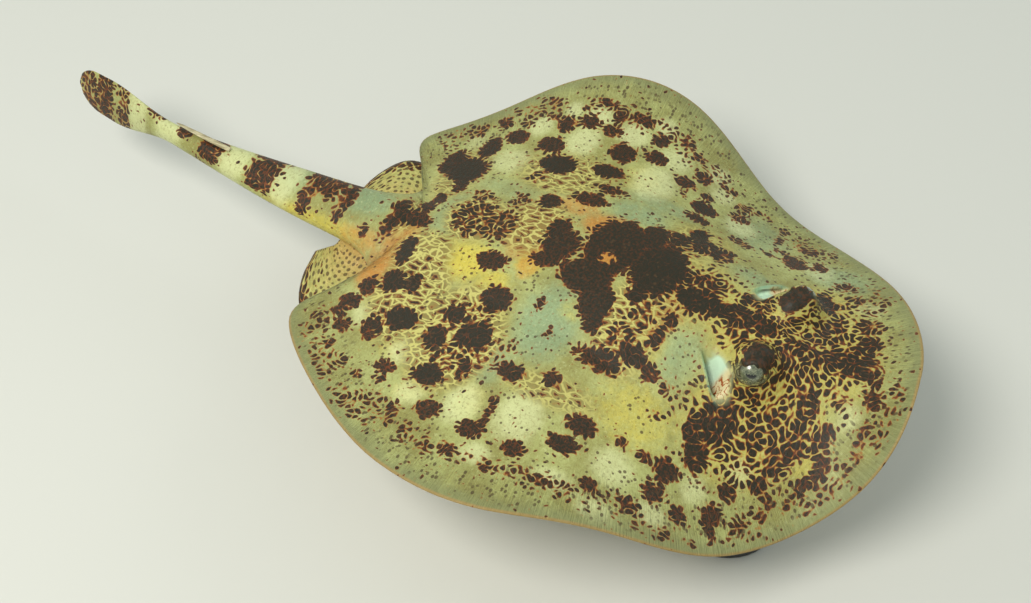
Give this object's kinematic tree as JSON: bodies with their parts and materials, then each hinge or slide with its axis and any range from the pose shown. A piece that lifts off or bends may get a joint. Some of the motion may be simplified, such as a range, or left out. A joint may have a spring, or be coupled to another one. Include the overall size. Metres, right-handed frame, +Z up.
{
  "type": "yellow stingray display model",
  "caption": "Still life-size yellow stingray with a gently waving round disc, raised eyes and a short tail with a sting and rounded fin, on a flat base with short rods.",
  "frame": {"origin": "centre of the stand base's underside", "axes": "+Z up, +Y from the head towards the tail, +X towards the animal's left"},
  "size_m": [0.2254, 0.3873, 0.0823],
  "materials": {
    "hide": "wet, fine grained skin",
    "fin_hide": "wet, thin skin",
    "eye": "glossy",
    "spine": "horny, satin",
    "stand_plate": "satin powder coat",
    "stand_rod": "brushed"
  },
  "bodies": {
    "root": {"head": "hide", "trunk": "hide", "wing_left": "hide", "wing_right": "hide", "tail_base": "hide", "tail_end": "hide", "caudal_fin": "fin_hide", "pelvic_fin_left": "fin_hide", "pelvic_fin_right": "fin_hide", "eye_left": "eye", "eye_right": "eye", "tail_spine": "spine", "stand_base": "stand_plate", "stand_rod_front": "stand_rod", "stand_rod_rear": "stand_rod"}
  },
  "joints": []
}
